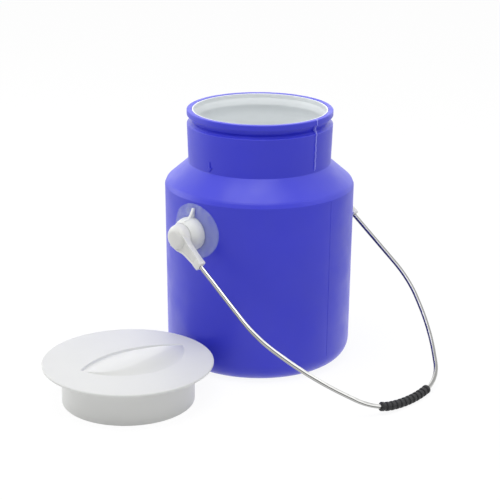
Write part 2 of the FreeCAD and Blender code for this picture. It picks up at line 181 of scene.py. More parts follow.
def face_outwards() -> None:
    """Turns every face outwards, in edit mode."""
    pick_all()
    bpy.ops.mesh.normals_make_consistent(inside=False)


def traced_line(name: str, corners: list[Corner], to_place: Placing, fineness: float = 7.0) -> Piece:
    """Traces a line through corners by extruding one vertex, then rounds the corners that ask for it.

    Args:
        name: Name of the new piece.
        corners: Each corner's two coordinates and its bend radius.
        to_place: Turns two coordinates in metres into a place.
        fineness: Largest turn between two steps of a bend, in degrees.

    Returns:
        The new piece, left in edit mode.
    """
    places = [to_place(a * MM, b * MM) for a, b, _ in corners]
    bpy.ops.object.select_all(action="DESELECT")
    bpy.ops.mesh.primitive_plane_add(size=MM, location=places[0])
    piece = bpy.context.object
    piece.name = name
    keep_place()
    enter_edit(piece)
    bpy.ops.mesh.select_mode(type="VERT")
    pick_all()
    bpy.ops.mesh.merge(type="CENTER")
    for here, there in zip(places, places[1:]):
        push(there - here)
    for index, (_, _, bend) in enumerate(corners):
        if bend > 0 and 0 < index < len(corners) - 1:
            round_corner(piece, places[index - 1:index + 2], bend * MM, fineness)
    return piece


def round_corner(piece: Piece, run: list[Vector], bend: float, fineness: float) -> None:
    """Rounds one corner of a traced line with a vertex bevel that is tangent to both its edges.

    Args:
        piece: The line, in edit mode.
        run: The corner before, the corner to round and the corner after.
        bend: Radius of the bend, in metres.
        fineness: Largest turn between two steps, in degrees.
    """
    before, here, after = run
    half = (before - here).normalized().angle((after - here).normalized()) / 2
    steps = max(3, math.ceil(math.degrees(math.pi - 2 * half) / fineness))
    pick_vertices(piece, lambda place: (place - here).length < WELD / 2)
    roundness = (1 - 0.5 / (1 + math.sin(half))) ** 2
    bpy.ops.mesh.bevel(offset=bend / math.tan(half), segments=steps, profile=roundness, affect="VERTICES")


def spun(piece: Piece, steps: int, axis: Axis, centre: Vector) -> Piece:
    """Spins the traced line in edit mode into a turned form and closes it.

    Args:
        piece: The line, in edit mode.
        steps: Number of steps round the axis.
        axis: The axis to spin round.
        centre: A place on the axis.

    Returns:
        The same piece, back in object mode, with its faces pointing outwards.
    """
    pick_all()
    bpy.ops.mesh.spin(steps=steps, angle=2 * math.pi, center=centre, axis=axis.value, use_auto_merge=False)
    weld()
    face_outwards()
    leave_edit()
    return piece


def lathe(name: str, corners: list[Corner], steps: int) -> Piece:
    """Turns an upright piece out of (radius, height, bend) corners, in the given number of steps."""
    piece = traced_line(name, corners, lambda radius, height: Vector((radius, 0.0, height)))
    return spun(piece, steps, Axis.UPRIGHT, Vector())


def hinge_lathe(name: str, corners: list[Corner], steps: int) -> Piece:
    """Turns a piece round the hinge line out of (reach, radius, bend) corners."""
    piece = traced_line(name, corners, lambda reach, radius: Vector((reach, 0.0, HINGE_Z * MM + radius)))
    return spun(piece, steps, Axis.HINGE, Vector((0.0, 0.0, HINGE_Z * MM)))


def plate(name: str, corners: list[Corner], to_place: Placing, along: Vector) -> Piece:
    """Makes a flat plate: a traced outline that is filled and pushed out to a thickness.

    Args:
        name: Name of the plate.
        corners: Closed outline, each corner's two coordinates and bend radius.
        to_place: Turns two coordinates in metres into a place.
        along: Direction and thickness, in metres.

    Returns:
        The plate, left in edit mode.
    """
    piece = traced_line(name, corners, to_place)
    weld()
    bpy.ops.mesh.edge_face_add()
    push(along)
    face_outwards()
    return piece


def finish_smooth(piece: Piece, angle: float = 32.0) -> None:
    """Shades a piece smooth, apart from edges that turn by more than an angle in degrees."""
    take_up(piece)
    bpy.ops.object.shade_smooth_by_angle(angle=math.radians(angle))


def modify(piece: Piece, kind: str, **settings: object) -> None:
    """Adds a modifier to a piece and applies it.

    Args:
        piece: The piece.
        kind: Kind of modifier.
        **settings: The modifier's own settings.
    """
    modifier = piece.modifiers.new(kind.title(), kind)
    for key, value in settings.items():
        setattr(modifier, key, value)
    take_up(piece)
    bpy.ops.object.modifier_apply(modifier=modifier.name)


def soften_edges(piece: Piece, width: float, angle: float) -> None:
    """Rounds a piece's sharp edges and shades it smooth.

    Args:
        piece: The piece.
        width: Width of the rounding.
        angle: Least turn of a sharp edge, in degrees.
    """
    modify(piece, "BEVEL", width=width * MM, segments=3, limit_method="ANGLE",
           angle_limit=math.radians(angle))
    finish_smooth(piece)


def combine(piece: Piece, tool: Piece, way: Combine) -> None:
    """Lets a tool piece act on a piece by an exact boolean and removes the tool."""
    modify(piece, "BOOLEAN", operation=way.value, solver="EXACT", object=tool)
    bpy.data.objects.remove(tool)


def mirrored_copy(piece: Piece, name: str) -> Piece:
    """Copies a piece of the right side to the left, with its own mesh.

    Args:
        piece: The piece on the right.
        name: Name of the copy.

    Returns:
        The copy, with its faces pointing outwards.
    """
    take_up(piece)
    bpy.ops.object.duplicate(linked=False)
    copy = bpy.context.object
    copy.name = name
    copy.scale.x = -1.0
    keep_place()
    enter_edit(copy)
    face_outwards()
    leave_edit()
    finish_smooth(copy)
    return copy


def settle(piece: Piece, body: str, slot: str, *nodes: str) -> None:
    """Puts a finished piece on its body and in the place of its solids.

    Args:
        piece: The finished piece.
        body: Body that it rides on.
        slot: Not used.
        *nodes: Solids that it stands for; none where another piece stands for them.
    """
    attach(piece, body)
    if nodes:
        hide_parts(*nodes)
    LOG.info("%s: %d faces on %s", piece.name, len(piece.data.polygons), body)


# ---- finishes ----


class Graph:
    """A node tree, with short ways to add and join nodes."""

    def __init__(self, tree: bpy.types.NodeTree) -> None:
        """Works on the given tree."""
        self.tree = tree

    def feed(self, node: Node, inputs: dict[str | int, Feed]) -> None:
        """Fills a node's inputs.

        Args:
            node: The node.
            inputs: For each input an output to join to it, or a value to set.
        """
        for key, value in inputs.items():
            if isinstance(value, Socket):
                self.tree.links.new(value, node.inputs[key])
            else:
                node.inputs[key].default_value = value

    def add(self, kind: str, inputs: dict[str | int, Feed] | None = None, **settings: object) -> Node:
        """Adds a node.

        Args:
            kind: Kind of node.
            inputs: For each input an output to join to it, or a value to set.
            **settings: The node's properties.

        Returns:
            The node.
        """
        node = self.tree.nodes.new(kind)
        for key, value in settings.items():
            setattr(node, key, value)
        self.feed(node, inputs or {})
        return node

    def summed(self, value: Socket, factor: Feed, rest: Feed) -> Socket:
        """Adds a value times a factor to another value."""
        node = self.add("ShaderNodeMath", {0: value, 1: factor, 2: rest}, operation="MULTIPLY_ADD")
        return node.outputs["Value"]

    def by_ray(self, plain: float, seen: float, mirrored: Feed) -> Socket:
        """Gives a level that depends on how a ray arrives.

        Args:
            plain: Level for light that falls on dull surfaces.
            seen: How much more the camera sees, also through clear surfaces.
            mirrored: How much more reflections show.

        Returns:
            The level.
        """
        path = self.add("ShaderNodeLightPath").outputs
        level = plain
        for ray, more in (("Camera", seen), ("Transmission", seen), ("Glossy", mirrored)):
            level = self.summed(path[f"Is {ray} Ray"], more, level)
        return level


def patches_group() -> bpy.types.NodeTree:
    """Builds, once, the node group of soft patches that every finish places with its own values.

    Returns:
        The group.  Raw is a noise over the piece, and Ranged is its middle part from Low to High.
    """
    group = bpy.data.node_groups.get("patches")
    if group:
        return group
    group = bpy.data.node_groups.new("patches", "ShaderNodeTree")
    for label in ("Scale", "Detail", "Low", "High"):
        group.interface.new_socket(label, in_out="INPUT", socket_type="NodeSocketFloat")
    group.interface.new_socket("Stretch", in_out="INPUT", socket_type="NodeSocketVector")
    for label in ("Raw", "Ranged"):
        group.interface.new_socket(label, in_out="OUTPUT", socket_type="NodeSocketFloat")
    graph = Graph(group)
    given = graph.add("NodeGroupInput").outputs
    places = graph.add("ShaderNodeTexCoord").outputs["Object"]
    mapping = graph.add("ShaderNodeMapping", {"Vector": places, "Scale": given["Stretch"]})
    noise = graph.add("ShaderNodeTexNoise", {
        "Vector": mapping.outputs["Vector"], "Scale": given["Scale"], "Detail": given["Detail"]})
    raw = noise.outputs["Fac"]
    low, high = NOISE_MIDDLE
    ranged = graph.add("ShaderNodeMapRange", {
        "Value": raw, "From Min": low, "From Max": high, "To Min": given["Low"], "To Max": given["High"]})
    graph.add("NodeGroupOutput", {"Raw": raw, "Ranged": ranged.outputs["Result"]})
    return group


class Shader(Graph):
    """A material under construction."""

    def __init__(self, name: str) -> None:
        """Starts a material of that name with a plain surface shader.

        Args:
            name: Name of the material.
        """
        self.material = bpy.data.materials.new(name)
        self.material.use_nodes = True
        super().__init__(self.material.node_tree)
        self.surface = self.tree.nodes["Principled BSDF"]

    def patches(self, scale: float, detail: float, low: float = 0.0, high: float = 1.0,
                stretch: Corner = (1.0, 1.0, 1.0)) -> Node:
        """Places the group of patches: cells per metre, octaves, ends of Ranged and factors on the place."""
        inputs = {"Scale": scale, "Detail": detail, "Low": low, "High": high, "Stretch": stretch}
        return self.add("ShaderNodeGroup", inputs, node_tree=patches_group())

    def blended(self, share: Socket, first: Colour, second: Colour) -> Socket:
        """Gives a colour that goes from the first to the second by a share."""
        node = self.add("ShaderNodeMix", {0: share, 6: (*first, 1.0), 7: (*second, 1.0)}, data_type="RGBA")
        return node.outputs[2]

    def bumps(self, *layers: tuple[Node, float]) -> Socket:
        """Lays bumps over each other.

        Args:
            *layers: For each bump its placed patches and its depth.

        Returns:
            The surface's normal.
        """
        under = {}
        for patches, depth in layers:
            bump = self.add("ShaderNodeBump", {
                "Strength": 1.0, "Distance": depth * MM, "Height": patches.outputs["Raw"], **under})
            under = {"Normal": bump.outputs["Normal"]}
        return under["Normal"]

    def finished(self, **inputs: Feed) -> bpy.types.Material:
        """Fills the surface shader's inputs, named with _ for a space, and gives the material."""
        self.feed(self.surface, {key.replace("_", " "): value for key, value in inputs.items()})
        return self.material


@dataclass(frozen=True)
class MouldedPlastic:
    """Satin moulded plastic: slightly uneven colour and gloss, soft ripples and a fine skin."""

    name: str
    colour: Colour
    shade: Colour
    roughness: Pair = (0.36, 0.46)
    cloud: Pair = (14.0, 3.0)
    gloss: Pair = (60.0, 4.0)
    ripple: Pair = (28.0, 0.10)
    skin: Pair = (900.0, 0.006)
    bump_detail: float = 2.0
    subsurface: float = 0.0
    subsurface_depth: float = 0.002
    shine: float = 0.5

    def material(self) -> bpy.types.Material:
        """Builds the material.

        Returns:
            The material.
        """
        shader = Shader(self.name)
        cloud, gloss = shader.patches(*self.cloud), shader.patches(*self.gloss, *self.roughness)
        layers = [(shader.patches(scale, self.bump_detail), depth)
                  for scale, depth in (self.ripple, self.skin)]
        return shader.finished(
            Base_Color=shader.blended(cloud.outputs["Ranged"], self.shade, self.colour),
            Roughness=gloss.outputs["Ranged"],
            Normal=shader.bumps(*layers),
            Subsurface_Weight=self.subsurface,
            Subsurface_Radius=(1.0, 1.0, 1.0),
            Subsurface_Scale=self.subsurface_depth,
            Specular_IOR_Level=self.shine)


@dataclass(frozen=True)
class MilkyPlastic:
    """Thin natural plastic that lets the colour behind it through, with cloudy streaks."""

    name: str = "milky_plastic"
    colour: Colour = (0.58, 0.66, 0.93)
    pale: Colour = (0.66, 0.73, 0.94)
    haze: Pair = (60.0, 2.0)
    cloud: Pair = (140.0, 4.0)
    cover: Pair = (0.13, 0.32)
    cloud_stretch: Corner = (1.0, 1.0, 0.6)
    grain: Pair = (300.0, 3.0)
    grain_depth: float = 0.05
    roughness: float = 0.38

    def material(self) -> bpy.types.Material:
        """Builds the material.

        Returns:
            The material.
        """
        shader = Shader(self.name)
        shader.material.surface_render_method = "DITHERED"
        haze = shader.patches(*self.haze)
        cloud = shader.patches(*self.cloud, *self.cover, self.cloud_stretch)
        return shader.finished(
            Base_Color=shader.blended(haze.outputs["Raw"], self.colour, self.pale),
            Alpha=cloud.outputs["Ranged"],
            Roughness=self.roughness,
            Normal=shader.bumps((shader.patches(*self.grain), self.grain_depth)))


@dataclass(frozen=True)
class DrawnSteel:
    """Bright drawn steel wire with painted highlight and painted shade bands along it, set by which way the
    surface faces, and fine streaks.
    """

    name: str = "drawn_steel"
    facing: Corner = (0.0, -0.585, 0.811)
    # painted light: base-colour levels by which way the surface faces, standing in for the wire's highlights
    # and shaded bands
    lines: tuple[Pair, ...] = (
        (0.0, 0.12), (0.25, 0.20), (0.45, 0.34), (0.57, 0.38), (0.67, 0.08), (0.73, 0.06), (0.84, 0.58),
        (0.93, 0.32), (1.0, 0.18))
    warmth: float = 0.98
    drift: float = 2.2
    wander: float = 0.12
    streak: Pair = (420.0, 3.0)
    streak_stretch: Corner = (0.35, 0.12, 0.12)
    grain: Pair = (900.0, 2.0)
    grain_stretch: Corner = (0.5, 0.15, 0.15)
    grain_depth: float = 0.02
    roughness: Pair = (0.26, 0.12)

    def material(self) -> bpy.types.Material:
        """Builds the material.

        Returns:
            The material.
        """
        shader = Shader(self.name)
        places = shader.add("ShaderNodeTexCoord").outputs
        turn = shader.add("ShaderNodeVectorMath", {0: places["Normal"], 1: self.facing},
                          operation="DOT_PRODUCT")
        apart = shader.add("ShaderNodeSeparateXYZ", {0: places["Object"]})
        streak = shader.patches(*self.streak, -0.5, 0.5, self.streak_stretch).outputs["Ranged"]
        wandered = shader.summed(streak, self.wander, turn.outputs["Value"])
        drifted = shader.summed(apart.outputs["X"], self.drift, wandered)
        across = shader.add("ShaderNodeMapRange", {"Value": drifted, "From Min": -1.0})
        # painted highlight and shade: the ramp's levels give the wire its bright and dark bands
        ramp = shader.add("ShaderNodeValToRGB", {"Fac": across.outputs["Result"]})
        steps = ramp.color_ramp.elements
        for place, _ in self.lines[1:-1]:
            steps.new(place)
        for step, (_, level) in zip(steps, self.lines):
            step.color = (level, level, level * self.warmth, 1.0)
        gloss = shader.patches(*self.streak, *self.roughness, self.streak_stretch)
        grain = shader.patches(*self.grain, stretch=self.grain_stretch)
        return shader.finished(
            Base_Color=ramp.outputs["Color"],
            Metallic=1.0,
            Roughness=gloss.outputs["Ranged"],
            Normal=shader.bumps((grain, self.grain_depth)))


@dataclass(frozen=True)
class SoftRubber:
    """Soft black sleeve with a dull, faintly grained skin."""

    name: str = "soft_rubber"
    colour: Colour = (0.009, 0.0095, 0.011)
    worn: Colour = (0.018, 0.0185, 0.020)
    wear: Pair = (260.0, 4.0)
    roughness: Pair = (0.42, 0.6)
    grain: Pair = (1600.0, 3.0)
    grain_depth: float = 0.03
    shine: float = 0.25

    def material(self) -> bpy.types.Material:
        """Builds the material.

        Returns:
            The material.
        """
        shader = Shader(self.name)
        wear, gloss = shader.patches(*self.wear), shader.patches(*self.wear, *self.roughness)
        return shader.finished(
            Base_Color=shader.blended(wear.outputs["Ranged"], self.colour, self.worn),
            Roughness=gloss.outputs["Ranged"],
            Normal=shader.bumps((shader.patches(*self.grain), self.grain_depth)),
            Specular_IOR_Level=self.shine)


BLUE = MouldedPlastic("blue_plastic", (0.028, 0.032, 0.62), (0.024, 0.028, 0.575))
# painted highlight: a pale blue for the flash, standing in for the light along its lit side
FLASH_HIGHLIGHT_BLUE = MouldedPlastic("flash_painted_highlight", (0.34, 0.35, 0.93), (0.28, 0.29, 0.90))
LINER_WHITE = MouldedPlastic("liner_plastic", (0.93, 0.965, 0.98), (0.91, 0.95, 0.965), (0.28, 0.36),
                             ripple=(28.0, 0.05))
LID_WHITE = MouldedPlastic("lid_plastic", (0.775, 0.78, 0.765), (0.755, 0.76, 0.745), (0.38, 0.48),
                           ripple=(28.0, 0.06), shine=0.2)
FITTING_WHITE = MouldedPlastic("fitting_plastic", (0.75, 0.75, 0.725), (0.72, 0.72, 0.70), (0.34, 0.44),
                               ripple=(120.0, 0.05), subsurface=0.5, subsurface_depth=0.004)
BOSS_WHITE = MouldedPlastic("boss_plastic", (0.76, 0.77, 0.75), (0.73, 0.745, 0.73), (0.36, 0.46),
                            ripple=(120.0, 0.05), subsurface=0.55, subsurface_depth=0.005)

Finish = MouldedPlastic | MilkyPlastic | DrawnSteel | SoftRubber


def dress(piece: Piece, finish: Finish, angle: float = 32.0) -> Piece:
    """Shades a piece smooth and gives it a finish.

    Args:
        piece: The piece.
        finish: Its finish.
        angle: Largest turn of an edge that looks smooth, in degrees.

    Returns:
        The same piece.
    """
    finish_smooth(piece, angle)
    piece.data.materials.append(finish.material())
    return piece


# ---- the can ----


@dataclass
class OuterShell:
    """Blue blow-moulded shell: body, shoulder, neck, groove, rim and parting lines."""

    wall: float = 2.0
    body_height: float = 162.0
    body_radius: float = 85.0
    base_radius: float = 83.4
    base_round: float = 16.8
    ledge: Corner = (83.6, 165.2, 0.35)
    cone_foot: Corner = (82.5, 166.6, 0.5)
    neck_foot: Corner = (63.9, 182.6, 0.9)
    neck_radius: float = 65.1
    height: float = 230.0
    rim_radius: float = 65.2
    rim_height: float = 5.0
    groove_height: float = 5.0
    groove_depth: float = 4.4
    groove_slope: float = 2.7
    groove_lean: float = 2.0
    mouth_radius: float = 60.5
    rim_depth: float = 9.0
    edge_round: float = 0.9
    neck_foot_inside: Corner = (61.9, 181.7, 0.0)
    shoulder_inside: Corner = (83.0, 163.5, 1.5)
    seam_half_angle: float = math.radians(0.35)
    seam_height: float = 0.13
    seam_foot: float = 24.0
    seam_stop: float = 3.0
    seam_reach: float = 6.0
    steps: int = 240

    def outline(self) -> list[Corner]:
        """Lists the corners of the shell's section from the base's middle, up outside and down inside.

        Returns:
            The corners, each a radius, a height and a bend.
        """
        rim_foot = self.height - self.rim_height
        groove_foot = rim_foot - self.groove_height
        groove_radius = self.rim_radius - self.groove_depth
        rim_inside = self.height - self.rim_depth
        return [
            (0.0, 0.0, 0.0),
            (self.base_radius, 0.0, self.base_round),
            (self.body_radius, self.body_height, 1.5),
            self.ledge, self.cone_foot, self.neck_foot,
            (self.neck_radius, groove_foot - self.groove_slope, 0.6),
            (groove_radius, groove_foot, 0.4),
            (groove_radius + self.groove_lean, rim_foot, 0.3),
            (self.rim_radius, rim_foot, 0.45),
            (self.rim_radius, self.height, self.edge_round),
            (self.mouth_radius, self.height, self.edge_round),
            (self.mouth_radius, rim_inside, 0.0),
            (self.neck_radius - self.wall, rim_inside - self.wall, 0.0),
            self.neck_foot_inside, self.shoulder_inside,
            (self.base_radius - self.wall, self.wall, self.base_round - self.wall),
            (0.0, self.wall, 0.0),
        ]

    def build(self) -> None:
        """Builds, dresses and settles the shell."""
        shell = lathe("can_shell", self.outline(), self.steps)
        groove_middle = self.height - self.rim_height - self.groove_height - self.groove_slope / 2
        self.raise_seam(shell, -1.0, self.body_height - self.seam_stop)
        self.raise_seam(shell, 1.0, groove_middle)
        settle(dress(shell, BLUE), "can", "blue_shell", "outer_shell")

    def raise_seam(self, shell: Piece, front: float, top: float) -> None:
        """Raises the parting line on one side of the shell.

        Args:
            shell: The turned shell.
            front: -1 for the side towards -Y, 1 for the other.
            top: Height where the line ends.
        """
        enter_edit(shell)
        for angle in (-self.seam_half_angle, self.seam_half_angle):
            pick_faces(shell, lambda at, _: at.y * front > 0 and abs(at.x) < self.seam_reach * MM)
            bpy.ops.mesh.bisect(plane_co=(0.0, 0.0, 0.0), plane_no=(math.cos(angle), math.sin(angle), 0.0))

        def on_seam(middle: Vector, normal: Vector) -> bool:
            """Tells the narrow outer faces of the seam from the rest."""
            outside = normal.y * front > 0.1 and self.seam_foot * MM < middle.z < top * MM
            return outside and abs(middle.x) < middle.y * front * math.tan(self.seam_half_angle)

        pick_faces(shell, on_seam)
        bpy.ops.mesh.extrude_region_shrink_fatten(
            TRANSFORM_OT_shrink_fatten={"value": self.seam_height * MM})
        leave_edit()


@dataclass
class FillArrow:
    """Raised arrow at the neck's foot that points down at the fill line."""

    tip_z: float = 184.4
    length: float = 8.6
    head_width: float = 6.0
    head_length: float = 3.6
    stem_width: float = 1.6
    root_radius: float = 63.1
    face_radius: float = 64.95
    edge_round: float = 0.18

    def build(self) -> None:
        """Builds, dresses and settles the arrow."""
        half_head, half_stem = self.head_width / 2, self.stem_width / 2
        tip, head_top, top = self.tip_z, self.tip_z + self.head_length, self.tip_z + self.length
        half = [(0.0, tip, 0.0), (half_head, head_top, 0.0), (half_stem, head_top, 0.0),
                (half_stem, top, 0.0)]
        corners = half + [(-y, z, bend) for y, z, bend in reversed(half)]
        arrow = plate("fill_arrow", corners, lambda y, z: Vector((-self.root_radius * MM, y, z)),
                      Vector(((self.root_radius - self.face_radius) * MM, 0.0, 0.0)))
        pick_faces(arrow, lambda _, normal: normal.x < -0.9)
        bpy.ops.mesh.bevel(offset=self.edge_round * MM, segments=3, affect="EDGES")
        leave_edit()
        settle(dress(arrow, BLUE, 40.0), "can", "blue_shell")


@dataclass
class NeckFlash:
    """Thin uneven flash of the parting line on the neck's near side, over groove and rim."""

    thickness: float = 0.6
    foot: float = 184.2
    edge: list[Corner] = field(default_factory=lambda: [
        (60.5, 229.2, 0.0), (63.6, 230.2, 0.0), (65.8, 230.15, 0.3), (65.8, 225.2, 0.3), (64.0, 223.9, 0.6),
        (63.7, 221.2, 0.8), (65.75, 217.4, 0.8), (65.65, 200.0, 0.0), (65.1, 186.5, 3.0), (64.0, 184.2, 0.0),
        (60.5, 184.2, 0.0), (60.5, 229.2, 0.0)])
    cuts: int = 29
    cut_pitch: float = 1.55
    turn_z: float = 217.0
    turn_run: float = 1.8
    place_above: float = 1.9
    place_below: float = 0.6
    waves: tuple[Pair, ...] = ((0.22, 0.9), (0.12, 2.3))

    def build(self) -> None:
        """Builds, dresses and settles the flash."""
        flash = plate("neck_flash", self.edge,
                      lambda radius, height: Vector((-self.thickness / 2 * MM, -radius, height)),
                      Vector((self.thickness * MM, 0.0, 0.0)))
        for cut in range(1, self.cuts + 1):
            height = self.foot + cut * self.cut_pitch
            pick_all()
            bpy.ops.mesh.bisect(plane_co=(0.0, 0.0, height * MM), plane_no=(0.0, 0.0, 1.0))
        move_vertices(flash, lambda at: Vector((at.x + self.shift(at.z / MM) * MM, at.y, at.z)))
        leave_edit()
        # the flash's pale finish is a painted highlight
        settle(dress(flash, FLASH_HIGHLIGHT_BLUE, 50.0), "can", "blue_shell")

    def shift(self, height: float) -> float:
        """Gives the flash's sideways place at a height.

        Args:
            height: The height.

        Returns:
            The distance from the middle plane.
        """
        share = 1.0 / (1.0 + math.exp((self.turn_z - height) / self.turn_run))
        wave = sum(size * math.sin(height * pace) for size, pace in self.waves)
        return self.place_below + (self.place_above - self.place_below) * share + wave


@dataclass
class InnerLiner:
    """White liner seen through the mouth: lip, bore with a soft wave, shoulder, wall and floor."""

    wall: float = 1.6
    lip_outside: float = 60.4
    top: float = 229.65
    lip_radius: float = 59.3
    step_z: float = 225.8
    step: Pair = (0.6, 2.4)
    bore_radius: float = 58.0
    bore_z: float = 219.8
    wave_z: float = 213.8
    wave_foot: float = 202.0
    wave_depth: float = 0.8
    bore_foot: float = 175.0
    side: float = 75.4
    side_top: float = 160.0
    side_round: float = 8.0
    side_lean: float = 1.6
    floor_z: float = 9.6
    floor_round: float = 14.8
    outer_step: Pair = (218.2, 219.0)
    steps: int = 192

    def outline(self) -> list[Corner]:
        """Lists the corners of the liner's section, down inside and back up outside.

        Returns:
            The corners, each a radius, a height and a bend.
        """
        bore, wave, wall = self.bore_radius, self.wave_depth, self.wall
        lip_step, step_height = self.step
        return [
            (self.lip_outside, self.top, 0.35),
            (self.lip_radius, self.top, 0.35),
            (self.lip_radius, self.step_z, 0.5),
            (self.lip_radius - lip_step, self.step_z - step_height, 2.0),
            (bore, self.bore_z, 5.0),
            (bore + wave, self.wave_z, 30.0),
            (bore - wave, self.wave_foot, 30.0),
            (bore - wave, self.bore_foot, 3.0),
            (self.side, self.side_top, self.side_round),
            (self.side - self.side_lean, self.floor_z, self.floor_round),
            (0.0, self.floor_z, 0.0),
            (0.0, self.floor_z - wall, 0.0),
            (self.side + wall - self.side_lean, self.floor_z - wall, self.floor_round + wall),
            (self.side + wall, self.side_top + wall / 2, self.side_round + wall),
            (bore + wall, self.bore_foot + wall / 2, 0.0),
            (bore + wall, self.outer_step[0], 0.0),
            (self.lip_outside, self.outer_step[1], 0.0),
            (self.lip_outside, self.top, 0.0),
        ]

    def build(self) -> None:
        """Builds, dresses and settles the liner."""
        liner = lathe("can_liner", self.outline(), self.steps)
        settle(dress(liner, LINER_WHITE), "can", "white_liner", "inner_liner")


# ---- ears ----


@dataclass
class Ear:
    """Milky ears, alike on both sides: a thin disc on the body, and a boss of dome, fin and stud."""

    disc_foot: float = 84.92
    disc_thickness: float = 1.6
    body_slope: float = 1.6 / 162.0
    disc_y: float = -2.0
    disc_z: float = 135.7
    disc_radius: float = 25.3
    disc_edge: Pair = (0.05, -1.3)
    disc_soft: Pair = (0.45, 50.0)
    band_half: float = 30.0
    band_steps: int = 720
    cutter_x: float = 84.0
    cutter_depth: float = 13.0
    cutter_steps: int = 320
    boss: list[Corner] = field(default_factory=lambda: [
        (85.0, 0.0, 0.0), (85.0, 14.6, 0.0), (86.0, 14.6, 0.0), (92.0, 15.2, 13.0), (98.4, 11.9, 0.35),
        (98.4, 4.0, 0.0), (104.62, 4.0, 0.5), (104.62, 0.0, 0.0)])
    boss_steps: int = 128
    boss_soft: Pair = (0.35, 40.0)
    fin: list[Corner] = field(default_factory=lambda: [
        (85.6, 156.6, 0.0), (87.0, 156.6, 0.3), (90.4, 148.8, 6.0), (96.6, 147.2, 0.8), (96.6, 139.0, 0.0),
        (85.6, 139.0, 0.0), (85.6, 156.6, 0.0)])
    fin_thickness: float = 2.4
    fin_lean: float = 0.09

    def build_disc(self) -> Piece:
        """Builds the right ear's see-through disc, curved to the body.

        Returns:
            The disc.
        """
        near, far = self.disc_foot, self.disc_foot + self.disc_thickness
        low, high = self.disc_z - self.band_half, self.disc_z + self.band_half
        lean = self.body_slope * self.band_half
        band = lathe("ear_disc", [(near - lean, low, 0), (far - lean, low, 0), (far + lean, high, 0),
                                  (near + lean, high, 0), (near - lean, low, 0)], self.band_steps)
        foot_radius, face_radius = ((self.disc_radius + more) * MM for more in self.disc_edge)
        bpy.ops.mesh.primitive_cone_add(
            vertices=self.cutter_steps, radius1=foot_radius, radius2=face_radius,
            depth=self.cutter_depth * MM, location=(self.cutter_x * MM, self.disc_y * MM, self.disc_z * MM),
            rotation=(0.0, math.pi / 2, 0.0))
        combine(band, bpy.context.object, Combine.KEEP_COMMON)
        soften_edges(band, *self.disc_soft)
        return band

    def build_fin(self) -> Piece:
        """Builds the upright fin with its hollow outer edge.

        Returns:
            The fin.
        """
        half = self.fin_thickness / 2 * MM
        fin = plate("ear_fin", self.fin, lambda reach, height: Vector((reach, -half, height)),
                    Vector((0.0, 2 * half, 0.0)))
        move_vertices(fin, lambda at: Vector(
            (at.x, at.y - self.fin_lean * max(0.0, at.z - HINGE_Z * MM), at.z)))
        leave_edit()
        return fin

    def build_boss(self) -> Piece:
        """Builds the right ear's dome, stud and fin as one closed form.

        Returns:
            The boss.
        """
        boss = hinge_lathe("ear_boss", self.boss, self.boss_steps)
        combine(boss, self.build_fin(), Combine.JOIN)
        soften_edges(boss, *self.boss_soft)
        return boss

    def build(self) -> None:
        """Builds, dresses and settles both ears; the bosses stand for the solids."""
        film, plastic = MilkyPlastic().material(), BOSS_WHITE.material()
        for piece, material, nodes in ((self.build_disc(), film, False), (self.build_boss(), plastic, True)):
            piece.data.materials.append(material)
            kind = piece.name
            copy = mirrored_copy(piece, f"{kind}_left")
            piece.name = f"{kind}_right"
            for side, half in (("right", piece), ("left", copy)):
                settle(half, "can", "milky_ear", *([f"ear_{side}"] if nodes else []))


# ---- the bail ----


